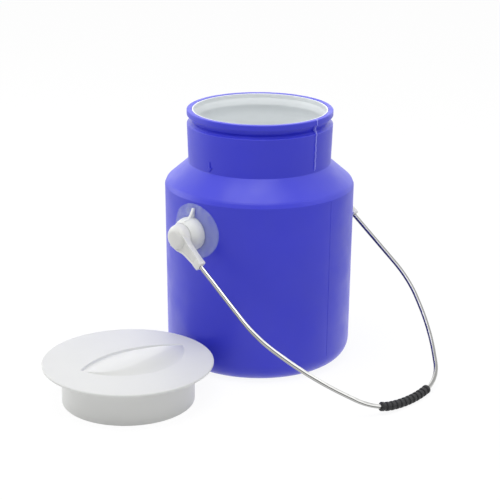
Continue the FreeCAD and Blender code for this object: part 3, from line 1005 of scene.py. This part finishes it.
@dataclass
class Bail:
    """Wire bail in its own plane, leaning down to the floor, with its ribbed sleeve."""

    wire_radius: float = 2.0
    half_wire: list[Corner] = field(default_factory=lambda: [
        (103.15, 28.0, 0.0), (104.07, 115.8, 102.3), (80.27, 169.7, 230.0), (43.9, 216.0, 52.4),
        (0.0, 222.7, 142.0)])
    wire_fineness: float = 1.5
    wire_resolution: int = 8
    sleeve_length: float = 62.0
    sleeve_shift: float = 6.5
    sleeve_core: float = 3.15
    sleeve_radius: float = 4.0
    sleeve_steps: int = 40
    ribs: int = 12
    rib_width: float = 3.5
    rib_flank: float = 0.12
    rib_shoulder: Pair = (0.6, 0.42)
    rib_merge: float = 0.01
    end_reach: float = 0.02

    def place(self, across: float, drop: float) -> Vector:
        """Gives the place at a distance across and down the bail, both in metres."""
        return Vector((across, -drop * math.cos(BAIL_TILT), HINGE_Z * MM - drop * math.sin(BAIL_TILT)))

    def build_path(self, name: str) -> Piece:
        """Builds the wire's centre line as a curve.

        Args:
            name: Name of the curve.

        Returns:
            The curve, from the right ear to the left.
        """
        left = [(-across, drop, bend) for across, drop, bend in reversed(self.half_wire[:-1])]
        path = traced_line(name, self.half_wire + left, self.place, self.wire_fineness)
        leave_edit()
        take_up(path)
        bpy.ops.object.convert(target="CURVE")
        return path

    def build_wire(self) -> Piece:
        """Builds and dresses the bent wire.

        Returns:
            The wire.
        """
        wire = self.build_path("bail_steel")
        wire.data.bevel_depth = self.wire_radius * MM
        wire.data.bevel_resolution = self.wire_resolution
        wire.data.use_fill_caps = True
        take_up(wire)
        bpy.ops.object.convert(target="MESH")
        wire.data.materials.clear()
        return dress(wire, DrawnSteel(), 50.0)

    def sleeve_start(self, path: Piece) -> float:
        """Works out where along a path the sleeve starts.

        Args:
            path: The curve that it is bent to.

        Returns:
            The distance from the path's start.
        """
        points = [point.co.to_3d() for point in path.data.splines[0].points]
        length = sum((there - here).length for here, there in zip(points, points[1:])) / MM
        return (length - self.sleeve_length) / 2 + math.copysign(self.sleeve_shift, points[0].x)

    def build_sleeve(self) -> Piece:
        """Builds and dresses the ribbed sleeve: one rib, repeated along a bar, bent to the wire.

        Returns:
            The sleeve.
        """
        path = self.build_path("sleeve_path")
        pitch = (self.sleeve_length - self.rib_width) / (self.ribs - 1)
        start = self.sleeve_start(path)
        core, top, width = self.sleeve_core, self.sleeve_radius, self.rib_width
        run, drop = self.rib_shoulder
        sleeve = traced_line("bail_sleeve", [
            (start, core, 0.0), (start + self.rib_flank, top - drop, 0.0), (start + run, top, 0.4),
            (start + width / 2, top, 0.0), (start + width - run, top, 0.4),
            (start + width - self.rib_flank, top - drop, 0.0), (start + width, core, 0.0),
            (start + (width + pitch) / 2, core, 0.0), (start + pitch, core, 0.0)],
            lambda along, radius: Vector((along, 0.0, radius)))
        spun(sleeve, self.sleeve_steps, Axis.HINGE, Vector())
        modify(sleeve, "ARRAY", count=self.ribs, use_relative_offset=False, use_constant_offset=True,
               constant_offset_displace=(pitch * MM, 0.0, 0.0), use_merge_vertices=True,
               merge_threshold=self.rib_merge * MM)
        self.close_ends(sleeve, start)
        modify(sleeve, "CURVE", object=path, deform_axis="POS_X")
        bpy.data.objects.remove(path)
        return dress(sleeve, SoftRubber(), 40.0)

    def close_ends(self, sleeve: Piece, start: float) -> None:
        """Trims the straight sleeve after its last rib and draws both ends in to the wire.

        Args:
            sleeve: The straight sleeve.
            start: Where it starts along its own axis.
        """
        end = start + self.sleeve_length
        share = self.wire_radius / self.sleeve_core
        enter_edit(sleeve)
        pick_all()
        bpy.ops.mesh.bisect(plane_co=(end * MM, 0.0, 0.0), plane_no=(1.0, 0.0, 0.0), clear_outer=True)
        for edge in (start, end):
            pick_vertices(sleeve, lambda place: abs(place.x - edge * MM) < self.end_reach * MM)
            bpy.ops.mesh.extrude_region_move()
            bpy.ops.transform.resize(value=(1.0, share, share), center_override=(edge * MM, 0.0, 0.0))
        face_outwards()
        leave_edit()

    def build(self) -> None:
        """Builds and settles the wire and the sleeve."""
        settle(self.build_wire(), "bail", "bright_wire", "bail_wire")
        settle(self.build_sleeve(), "bail", "black_grip", "bail_grip")


@dataclass
class BailEnd:
    """White fitting at each end of the bail: a round head, a hollowed arm and a socket for the wire."""

    head: list[Corner] = field(default_factory=lambda: [
        (98.62, 0.0, 0.0), (98.55, 11.5, 0.3), (103.6, 10.9, 6.0), (108.2, 9.0, 5.6), (108.3, 0.0, 0.0)])
    head_steps: int = 128
    soft: Pair = (0.45, 40.0)
    arm_reach: Pair = (100.2, 105.2)
    arm: list[Corner] = field(default_factory=lambda: [
        (0.0, 9.0, 0.0), (7.5, 8.3, 0.0), (13.5, 5.9, 14.0), (29.5, 4.35, 0.0)])
    swell_run: float = 18.0
    swell: float = 0.13
    arm_edge: float = 1.15
    arm_hollow: float = 1.0
    socket_reach: Pair = (100.0, 105.9)
    socket: list[Corner] = field(default_factory=lambda: [
        (27.6, 3.6, 0.0), (28.2, 4.35, 0.5), (34.2, 4.3, 0.9)])

    def build_plate(self, name: str, half: list[Corner], reach: Pair) -> Piece:
        """Builds a plate along the arm from half its outline, left in edit mode.

        Args:
            name: Name of the plate.
            half: Corners of the upper half, each a drop, a half width and a bend.
            reach: Inner and outer distance from the can's middle.

        Returns:
            The plate.
        """
        lower = [(drop, -width, bend) for drop, width, bend in reversed(half)]
        down = Vector((0.0, -math.cos(BAIL_TILT), -math.sin(BAIL_TILT)))
        up = Vector((0.0, -math.sin(BAIL_TILT), math.cos(BAIL_TILT)))
        start = Vector((reach[0] * MM, 0.0, HINGE_Z * MM))
        return plate(name, half + lower + half[:1], lambda drop, width: start + down * drop + up * width,
                     Vector(((reach[1] - reach[0]) * MM, 0.0, 0.0)))

    def swollen(self, place: Vector) -> Vector:
        """Moves a place on the arm's outer part out, the more the nearer it is to the head.

        Args:
            place: The place, in metres.

        Returns:
            The new place.
        """
        if place.x <= sum(self.arm_reach) / 2 * MM:
            return place
        drop = (HINGE_Z * MM - place.z) * math.sin(BAIL_TILT) - place.y * math.cos(BAIL_TILT)
        return Vector((place.x + max(0.0, self.swell_run * MM - drop) * self.swell, place.y, place.z))

    def build(self) -> None:
        """Builds, dresses and settles both fittings."""
        fitting = hinge_lathe("bail_fitting", self.head, self.head_steps)
        arm = self.build_plate("arm_plate", self.arm, self.arm_reach)
        pick_faces(arm, lambda _, normal: normal.x > 0.9)
        bpy.ops.mesh.inset(thickness=self.arm_edge * MM)
        push(Vector((-self.arm_hollow * MM, 0.0, 0.0)))
        move_vertices(arm, self.swollen)
        leave_edit()
        combine(fitting, arm, Combine.JOIN)
        socket = self.build_plate("socket_block", self.socket, self.socket_reach)
        leave_edit()
        combine(fitting, socket, Combine.JOIN)
        soften_edges(fitting, *self.soft)
        fitting.data.materials.append(FITTING_WHITE.material())
        copy = mirrored_copy(fitting, "bail_fitting_left")
        fitting.name = "bail_fitting_right"
        settle(fitting, "bail", "white_fitting", "bail_end_right")
        settle(copy, "bail", "white_fitting", "bail_end_left")


# ---- the lid ----


@dataclass
class Lid:
    """Plug lid with a hand hold: sunk along its far edge, raised to a crest on its near side."""

    centre: Pair = (-160.5, 4.0)
    height: float = 35.2
    flange_radius: float = 73.7
    flange_thickness: float = 2.2
    flange_round: float = 0.99
    top_margin: float = 2.2
    hold_margin: float = 0.5
    skirt_radius: float = 57.2
    skirt_wall: float = 2.2
    plate: float = 3.8
    steps: int = 240
    hold_turn: float = math.radians(-11.8)
    hold_centre: Pair = (7.8, 2.6)
    hold_length: float = 102.0
    hold_grid: tuple[int, int] = (120, 72)
    far_bulge: float = 18.5
    near_bulge: float = 39.0
    sunk: float = 2.3
    line: float = 0.3
    wall_run: float = 0.9
    line_run: float = 0.5
    tip_run: float = 7.0
    crest: float = 6.8
    crest_at: float = 16.0
    crest_swell: float = 0.9
    crest_share: Pair = (0.93, 0.5)

    def edge_distance(self, along: float, bulge: float) -> float:
        """Measures from the hold's long axis to one of its edge arcs.

        Args:
            along: Place along the long axis.
            bulge: Height of the arc over its chord.

        Returns:
            The distance.
        """
        half = self.hold_length / 2
        radius = (half ** 2 + bulge ** 2) / (2 * bulge)
        return math.sqrt(max(radius ** 2 - along ** 2, 0.0)) - (radius - bulge)

    def hold_height(self, along: float, share: float, width: float) -> float:
        """Measures the hold's surface from the lid's top.

        Args:
            along: Place along the long axis.
            share: Place across, 0 at the far arc and 1 at the near one.
            width: Distance between the arcs there.

        Returns:
            Height over the lid's top.
        """
        half = self.hold_length / 2
        side = half - self.crest_at if along > self.crest_at else half + self.crest_at
        swell = math.cos(math.pi / 2 * min(1.0, abs(along - self.crest_at) / side)) ** self.crest_swell
        left, right = self.crest_share
        ridge = left + (right - left) * (along + half) / self.hold_length
        wall = min(1.0, share * width / self.wall_run)
        rim = min(1.0, (1 - share) * width / self.line_run)
        edge = wall * wall * (3 - 2 * wall) * rim * rim * (3 - 2 * rim)
        sunk = (self.sunk - self.line) * min(1.0, width / self.tip_run)
        crest = (self.crest + self.line) * swell
        if share <= ridge:
            height = -self.line - sunk + (crest + sunk) * math.sin(math.pi / 2 * share / ridge)
        else:
            height = -self.line + crest * (1 + math.cos(math.pi * (share - ridge) / (1 - ridge))) / 2
        return height * edge

    def bent_place(self, flat: Vector) -> Vector:
        """Gives a place on the hold.

        Args:
            flat: Place on a flat square from -1 to 1.

        Returns:
            The place over the lid's top, in metres.
        """
        along = self.hold_length / 2 * math.sin(math.pi / 2 * flat.x)
        step = (1 - flat.y) / 2
        share = 3 * step ** 2 - 2 * step ** 3 if step < 0.5 else step
        far = self.edge_distance(along, self.far_bulge)
        width = far + self.edge_distance(along, self.near_bulge)
        return Vector((along, far - width * share, self.hold_height(along, share, width))) * MM

    def build_hold(self) -> Piece:
        """Builds the hold's surface as a fine grid bent to its two arcs.

        Returns:
            The hold's surface.
        """
        columns, rows = self.hold_grid
        bpy.ops.object.select_all(action="DESELECT")
        bpy.ops.mesh.primitive_grid_add(x_subdivisions=columns, y_subdivisions=rows, size=2.0)
        hold = bpy.context.object
        enter_edit(hold)
        move_vertices(hold, self.bent_place)
        weld()
        leave_edit()
        hold.location = (self.hold_centre[0] * MM, self.hold_centre[1] * MM, self.height * MM)
        hold.rotation_euler = (0.0, 0.0, self.hold_turn)
        keep_place()
        return hold

    def build(self) -> None:
        """Builds, dresses and settles the lid."""
        height, flange, bend = self.height, self.flange_radius, self.flange_round
        flange_foot, top_inside = height - self.flange_thickness, height - self.plate
        skirt_inside = self.skirt_radius - self.skirt_wall
        lid = lathe("plug_lid", [
            (flange - self.top_margin, height, 0.0), (flange, height, bend), (flange, flange_foot, bend),
            (self.skirt_radius, flange_foot, 1.5), (self.skirt_radius, 0.0, bend), (skirt_inside, 0.0, bend),
            (skirt_inside, top_inside, 2.0), (0.0, top_inside, 0.0)], self.steps)
        hold = self.build_hold()
        take_up(lid)
        hold.select_set(True)
        bpy.ops.object.join()
        enter_edit(lid)
        bpy.ops.mesh.select_all(action="DESELECT")
        bpy.ops.mesh.select_mode(type="EDGE")
        bpy.ops.mesh.select_non_manifold(extend=False, use_wire=False, use_boundary=True,
                                         use_multi_face=False, use_non_contiguous=False, use_verts=False)
        bpy.ops.mesh.fill(use_beauty=True)
        pick_faces(lid, lambda middle, normal: abs(normal.z) > 0.9999
                   and abs(middle.z - height * MM) < WELD / 2)
        bpy.ops.mesh.inset(thickness=self.hold_margin * MM, use_even_offset=True)
        face_outwards()
        leave_edit()
        lid.location = (self.centre[0] * MM, self.centre[1] * MM, 0.0)
        take_up(lid)
        keep_place()
        settle(dress(lid, LID_WHITE, 24.0), "can", "white_lid", "lid")


# ---- studio ----


@dataclass(frozen=True)
class Lamp:
    """Square soft lamp: its name, place and side in metres, and its power in watts."""

    name: str
    place: Corner
    size: float
    power: float


@dataclass
class Studio:
    """Pale floor, soft lamps and the camera; lengths are in metres."""

    eye: Corner = (-0.98399, -0.90165, 0.54616)
    gaze: Corner = (0.69489, 0.64453, -0.31893)
    roll: float = 0.00655
    lens: float = 110.79
    sensor: float = 36.0
    aim: Corner = (0.0, 0.0, 0.1)
    floor_size: float = 12.0
    floor_colour: Colour = (0.9, 0.9, 0.9)
    floor_roughness: float = 0.9
    floor_glow: float = 1.06
    floor_share: float = 0.86
    # painted reflection: a pool of floor glow near the can, seen only in reflections
    pool_reach: Pair = (0.12, 0.7)
    pool_level: Pair = (1.5, 1.05)
    sky: float = 0.52
    sky_mirrored: float = 1.9
    lamps: tuple[Lamp, ...] = (
        Lamp("overhead", (-0.25, -0.1, 1.2), 0.8, 6.0),
        Lamp("left", (-0.55, 1.1, 0.45), 0.9, 3.9),
        Lamp("right", (0.55, -0.85, 0.85), 0.9, 1.5))

    def place_camera(self) -> None:
        """Adds the camera and makes it the scene's."""
        camera = bpy.data.objects.new("camera", bpy.data.cameras.new("camera"))
        camera.data.lens = self.lens
        camera.data.sensor_width = self.sensor
        ahead = Vector(self.gaze).normalized()
        right = ahead.cross(Vector((0.0, 0.0, 1.0))).normalized()
        up = right.cross(ahead)
        turned = Matrix((right, up, -ahead)).transposed().to_4x4() @ Matrix.Rotation(self.roll, 4, "Z")
        camera.matrix_world = Matrix.Translation(self.eye) @ turned
        bpy.context.scene.collection.objects.link(camera)
        bpy.context.scene.camera = camera

    def pool(self, graph: Graph) -> Socket:
        """Gives the floor's glow for reflections only, a painted pool of light that falls off away from the
        can.

        Args:
            graph: The floor's nodes.

        Returns:
            The level.
        """
        place = graph.add("ShaderNodeNewGeometry").outputs["Position"]
        far = graph.add("ShaderNodeVectorMath", {0: place}, operation="LENGTH").outputs["Value"]
        (near, end), (high, low) = self.pool_reach, self.pool_level
        fall = graph.add("ShaderNodeMapRange", {
            "Value": far, "From Min": near, "From Max": end, "To Min": high, "To Max": low})
        return fall.outputs["Result"]

    def lay_floor(self) -> None:
        """Lays a pale floor that shows white to the camera and keeps the shadows."""
        bpy.ops.object.select_all(action="DESELECT")
        bpy.ops.mesh.primitive_plane_add(size=self.floor_size)
        floor = bpy.context.object
        floor.name = "studio_floor"
        shader = Shader("studio_floor")
        # the floor glows for the camera, and for reflections as a painted pool of light
        level = shader.by_ray(0.0, self.floor_glow, self.pool(shader))
        glow = shader.add("ShaderNodeEmission", {"Strength": level})
        share = shader.by_ray(0.0, self.floor_share, 1.0)
        mix = shader.add("ShaderNodeMixShader", {0: share, 1: shader.surface.outputs[0], 2: glow.outputs[0]})
        shader.feed(shader.tree.nodes["Material Output"], {"Surface": mix.outputs[0]})
        floor.data.materials.append(shader.finished(
            Base_Color=(*self.floor_colour, 1.0), Roughness=self.floor_roughness, Specular_IOR_Level=0.0))

    def hang_sky(self) -> None:
        """Sets a soft even sky that shows white behind the object."""
        world = bpy.data.worlds.new("studio_sky")
        world.use_nodes = True
        graph = Graph(world.node_tree)
        level = graph.by_ray(self.sky, 1.0 - self.sky, self.sky_mirrored - self.sky)
        graph.feed(graph.tree.nodes["Background"], {"Color": (1.0, 1.0, 1.0, 1.0), "Strength": level})
        bpy.context.scene.world = world

    def hang_lamp(self, lamp: Lamp) -> None:
        """Hangs a lamp so that it faces the can.

        Args:
            lamp: The lamp.
        """
        light = bpy.data.lights.new(lamp.name, "AREA")
        light.shape, light.size, light.energy = "SQUARE", lamp.size, lamp.power
        hung = bpy.data.objects.new(lamp.name, light)
        bpy.context.scene.collection.objects.link(hung)
        hung.location = lamp.place
        hung.rotation_euler = (Vector(self.aim) - Vector(lamp.place)).to_track_quat("-Z", "Y").to_euler()

    def build(self) -> None:
        """Sets up floor, sky, lamps and camera."""
        self.lay_floor()
        self.hang_sky()
        for lamp in self.lamps:
            self.hang_lamp(lamp)
        self.place_camera()
        bpy.context.scene.view_settings.view_transform = "Standard"


def main() -> None:
    """Builds the whole scene."""
    logging.basicConfig(level=logging.INFO, format="%(name)s: %(message)s")
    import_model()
    for part in (OuterShell, FillArrow, NeckFlash, InnerLiner, Ear, Bail, BailEnd, Lid, Studio):
        part().build()


if __name__ == "__main__":
    main()
